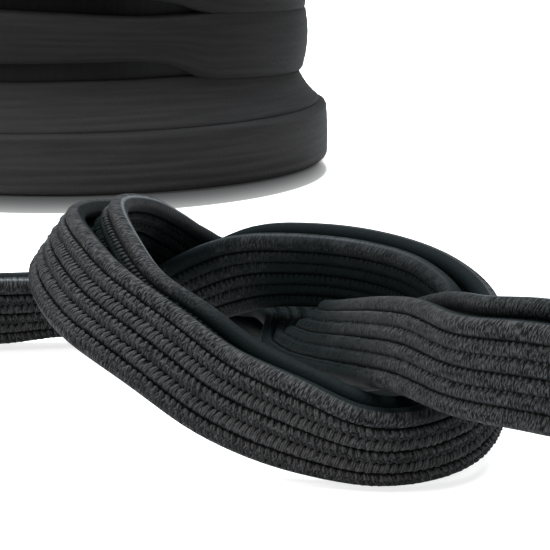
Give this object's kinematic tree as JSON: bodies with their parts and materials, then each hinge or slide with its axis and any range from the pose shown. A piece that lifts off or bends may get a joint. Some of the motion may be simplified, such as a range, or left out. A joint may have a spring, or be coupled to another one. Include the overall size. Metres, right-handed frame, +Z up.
{
  "type": "reel of elastic",
  "caption": "Coreless roll of flat ribbed braided elastic standing on its end, with its loose end folded double and tied in a loose overhand knot in front of it.",
  "frame": {"origin": "centre of the roll's flat lower end, on the surface that it stands on", "axes": "+Z up along the roll's axis; -Y towards the knot in the loose end, which is the side that the picture shows; +X to the right as seen in the picture"},
  "size_m": [0.086, 0.1723, 0.0413],
  "materials": {
    "elastic_braid": "flat braid of matt black textured yarn round rubber cords, ribbed along its length"
  },
  "bodies": {
    "root": {"wound_roll": "elastic_braid", "loose_end": "elastic_braid"}
  },
  "joints": []
}
